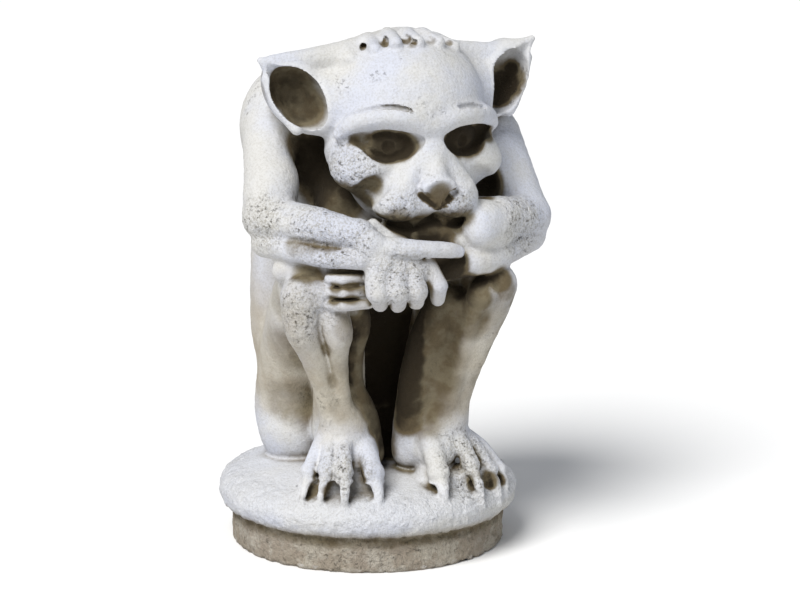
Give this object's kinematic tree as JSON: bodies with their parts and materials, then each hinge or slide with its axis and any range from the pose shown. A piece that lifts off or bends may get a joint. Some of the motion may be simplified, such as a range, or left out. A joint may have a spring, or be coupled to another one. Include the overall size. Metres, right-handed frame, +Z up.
{
  "type": "gargoyle statue",
  "caption": "Squatting gargoyle with crossed arms and large ears, cast in one with its round plinth; a garden or shelf ornament that stands by its own weight.",
  "frame": {"origin": "middle of the plinth's flat underside", "axes": "+Z up; the plinth's turning axis is Z; the figure faces -Y and its left side is +X"},
  "size_m": [0.2345, 0.2385, 0.3897],
  "materials": {
    "cast_stone": "weathered, pale grey, dull and granular"
  },
  "bodies": {
    "root": {"gargoyle_statue": "cast_stone"}
  },
  "joints": []
}
